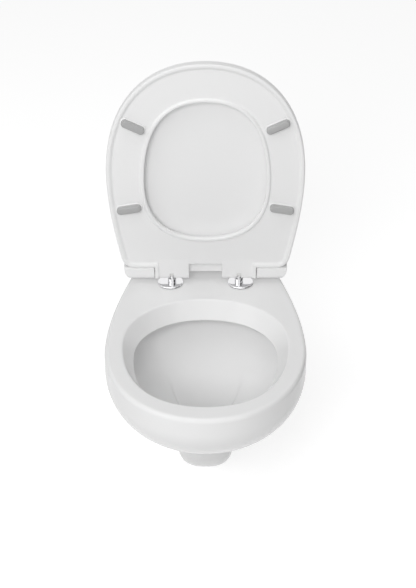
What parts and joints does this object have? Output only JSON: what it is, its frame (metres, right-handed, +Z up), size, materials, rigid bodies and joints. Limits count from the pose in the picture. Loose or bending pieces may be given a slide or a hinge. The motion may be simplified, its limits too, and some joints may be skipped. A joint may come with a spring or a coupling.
{
  "type": "wall hung toilet",
  "caption": "Wall hung toilet: white ceramic pan with a box flushing rim, oval bowl and trapway, and a hinged soft-close seat ring and lid on chrome hinges.",
  "frame": {"origin": "midway between the two wall bolt holes, on the wall face of the pan", "axes": "+Z up, +Y into the wall, the front of the pan towards -Y, +X the viewer's right when facing the wall; seat and lid stored open"},
  "size_m": [0.3616, 0.5205, 0.7868],
  "materials": {
    "glaze": "gloss",
    "seat_plastic": "gloss",
    "buffer_rubber": "satin",
    "seal_rubber": "matte",
    "hinge_chrome": "polished",
    "steel": "satin",
    "damper_plastic": "satin",
    "nut_plastic": "satin"
  },
  "bodies": {
    "pan": {"ceramic_pan": "glaze", "hinge_disc_left": "hinge_chrome", "hinge_gasket_left": "seal_rubber", "hinge_post_left": "hinge_chrome", "soft_close_damper_left": "damper_plastic", "hinge_bush_left": "seal_rubber", "hinge_washer_left": "steel", "wing_nut_left": "nut_plastic", "hinge_disc_right": "hinge_chrome", "hinge_gasket_right": "seal_rubber", "hinge_post_right": "hinge_chrome", "soft_close_damper_right": "damper_plastic", "hinge_bush_right": "seal_rubber", "hinge_washer_right": "steel", "wing_nut_right": "nut_plastic"},
    "seat": {"seat_ring": "seat_plastic", "seat_buffer_front_left": "buffer_rubber", "seat_buffer_rear_left": "buffer_rubber", "seat_buffer_front_right": "buffer_rubber", "seat_buffer_rear_right": "buffer_rubber"},
    "cover": {"lid": "seat_plastic", "lid_buffer_left": "buffer_rubber", "lid_buffer_right": "buffer_rubber", "lid_pivot_left": "steel", "lid_pivot_right": "steel"}
  },
  "joints": [
    {"name": "seat_hinge", "type": "hinge", "parent": "pan", "child": "seat", "pos_m": [0, -0.092, 0.102], "axis": [1, 0, 0], "range_deg": [0, 90]},
    {"name": "lid_hinge", "type": "hinge", "parent": "seat", "child": "cover", "pos_m": [0, -0.092, 0.102], "axis": [1, 0, 0], "range_deg": [-90, 0]}
  ]
}
